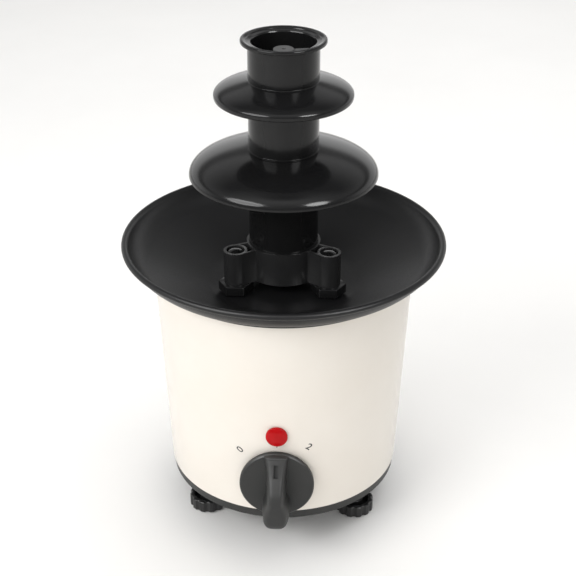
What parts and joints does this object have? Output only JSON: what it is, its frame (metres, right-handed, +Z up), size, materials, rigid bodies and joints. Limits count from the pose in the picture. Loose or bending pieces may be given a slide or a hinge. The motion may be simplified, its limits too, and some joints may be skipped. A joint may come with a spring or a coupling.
{
  "type": "chocolate fountain",
  "caption": "tabletop chocolate fountain with a heated non-stick bowl, a stacked tower that lifts apart, a motor-driven auger, a selector knob and screw feet",
  "frame": {"origin": "on the table plane, under the tower's axis", "axes": "+Z up along the tower, -Y toward the side with the knob, +X to that side's right"},
  "size_m": [0.21, 0.21, 0.3275],
  "materials": {
    "cream_plastic": "glossy, injection moulded",
    "black_plastic": "glossy, injection moulded",
    "dark_plastic": "satin, fine texture",
    "foot_plastic": "satin",
    "grey_plastic": "matt",
    "nonstick_coating": "satin non-stick coating on die-cast aluminium",
    "red_lens": "clear red, glossy",
    "lamp_glass": "clear",
    "rubber": "matt",
    "silicone": "matt",
    "steel": "ground",
    "zinc_steel": "zinc plated",
    "lamination_steel": "stacked laminations",
    "element_sheath": "heat-stained steel sheath",
    "bronze": "sintered",
    "brass": "turned",
    "copper": "enamelled wire",
    "nylon": "natural",
    "phenolic": "moulded",
    "wire_sleeve": "soft"
  },
  "bodies": {
    "frame": {"base_plate": "dark_plastic", "base_screws": "zinc_steel", "foot_nuts": "brass", "housing": "cream_plastic", "bowl": "nonstick_coating", "bowl_screws": "zinc_steel", "tower_posts": "black_plastic", "post_gaskets": "silicone", "post_screws": "zinc_steel", "post_sleeves": "zinc_steel", "shaft_seal": "silicone", "shaft_bush_upper": "bronze", "shaft_bush_lower": "bronze", "gearbox_case": "nylon", "gearbox_cover": "nylon", "gearbox_screws": "zinc_steel", "idler_pin": "steel", "rotor_bush_upper": "bronze", "rotor_bush_lower": "bronze", "stator_core": "lamination_steel", "coil_bobbin": "nylon", "coil_winding": "copper", "motor_bracket": "zinc_steel", "motor_screws": "zinc_steel", "heating_element": "element_sheath", "thermostat": "phenolic", "thermal_fuse": "phenolic", "switch_body": "phenolic", "switch_screws": "zinc_steel", "lamp_lens": "red_lens", "lamp_tube": "lamp_glass", "lamp_clip": "zinc_steel", "cord_gland": "dark_plastic", "gland_nut": "dark_plastic", "terminal_block": "nylon", "heater_wires": "wire_sleeve", "motor_wires": "wire_sleeve", "lamp_wires": "wire_sleeve"},
    "drive": {"drive_shaft": "steel", "output_gear": "nylon"},
    "idler": {"idler_gear": "nylon"},
    "rotor": {"rotor_shaft": "steel", "rotor_core": "lamination_steel"},
    "auger": {"auger": "grey_plastic"},
    "collar": {"tower_collar": "black_plastic"},
    "lower_tier": {"lower_tier": "black_plastic"},
    "upper_tier": {"upper_tier": "black_plastic"},
    "crown": {"crown": "black_plastic"},
    "knob": {"knob": "dark_plastic", "switch_spindle": "steel"},
    "foot_left_pad": {"foot_pad_left": "rubber"},
    "foot_left_wheel": {"foot_wheel_left": "foot_plastic", "foot_stud_left": "zinc_steel"},
    "foot_right_pad": {"foot_pad_right": "rubber"},
    "foot_right_wheel": {"foot_wheel_right": "foot_plastic", "foot_stud_right": "zinc_steel"},
    "foot_back_pad": {"foot_pad_back": "rubber"},
    "foot_back_wheel": {"foot_wheel_back": "foot_plastic", "foot_stud_back": "zinc_steel"}
  },
  "joints": [
    {"name": "rotor_spin", "type": "hinge", "parent": "frame", "child": "rotor", "pos_m": [0.02252, 0.039, 0.1], "axis": [0, 0, 1], "continuous": true},
    {"name": "idler_spin", "type": "hinge", "parent": "frame", "child": "idler", "pos_m": [0.02252, 0.013, 0.13], "axis": [0, 0, 1], "continuous": true},
    {"name": "drive_spin", "type": "hinge", "parent": "frame", "child": "drive", "pos_m": [0, 0, 0.15], "axis": [0, 0, 1], "continuous": true},
    {"name": "auger_lift", "type": "slide", "parent": "drive", "child": "auger", "axis": [0, 0, 1], "range_m": [0, 0.17]},
    {"name": "collar_lift", "type": "slide", "parent": "frame", "child": "collar", "axis": [0, 0, 1], "range_m": [0, 0.165]},
    {"name": "lower_tier_lift", "type": "slide", "parent": "collar", "child": "lower_tier", "axis": [0, 0, 1], "range_m": [0, 0.16]},
    {"name": "upper_tier_lift", "type": "slide", "parent": "lower_tier", "child": "upper_tier", "axis": [0, 0, 1], "range_m": [0, 0.08]},
    {"name": "crown_lift", "type": "slide", "parent": "upper_tier", "child": "crown", "axis": [0, 0, 1], "range_m": [0, 0.04]},
    {"name": "knob_turn", "type": "hinge", "parent": "frame", "child": "knob", "pos_m": [0, -0.084, 0.058], "axis": [0, -1, 0], "range_deg": [-42, 42]},
    {"name": "foot_left_level", "type": "slide", "parent": "frame", "child": "foot_left_pad", "axis": [0, 0, 1], "range_m": [-0.002, 0.002]},
    {"name": "foot_left_turn", "type": "hinge", "parent": "foot_left_pad", "child": "foot_left_wheel", "pos_m": [-0.05066, -0.02925, 0.005], "axis": [0, 0, 1], "range_deg": [-720, 720]},
    {"name": "foot_right_level", "type": "slide", "parent": "frame", "child": "foot_right_pad", "axis": [0, 0, 1], "range_m": [-0.002, 0.002]},
    {"name": "foot_right_turn", "type": "hinge", "parent": "foot_right_pad", "child": "foot_right_wheel", "pos_m": [0.05066, -0.02925, 0.005], "axis": [0, 0, 1], "range_deg": [-720, 720]},
    {"name": "foot_back_level", "type": "slide", "parent": "frame", "child": "foot_back_pad", "axis": [0, 0, 1], "range_m": [-0.002, 0.002]},
    {"name": "foot_back_turn", "type": "hinge", "parent": "foot_back_pad", "child": "foot_back_wheel", "pos_m": [0, 0.0585, 0.005], "axis": [0, 0, 1], "range_deg": [-720, 720]}
  ],
  "couplings": [
    {"joint": "idler_spin", "follows": "rotor_spin", "ratio": -0.3},
    {"joint": "drive_spin", "follows": "rotor_spin", "ratio": 0.09},
    {"joint": "foot_left_level", "follows": "foot_left_turn", "m_per_rad": 0.00015915},
    {"joint": "foot_right_level", "follows": "foot_right_turn", "m_per_rad": 0.00015915},
    {"joint": "foot_back_level", "follows": "foot_back_turn", "m_per_rad": 0.00015915}
  ]
}
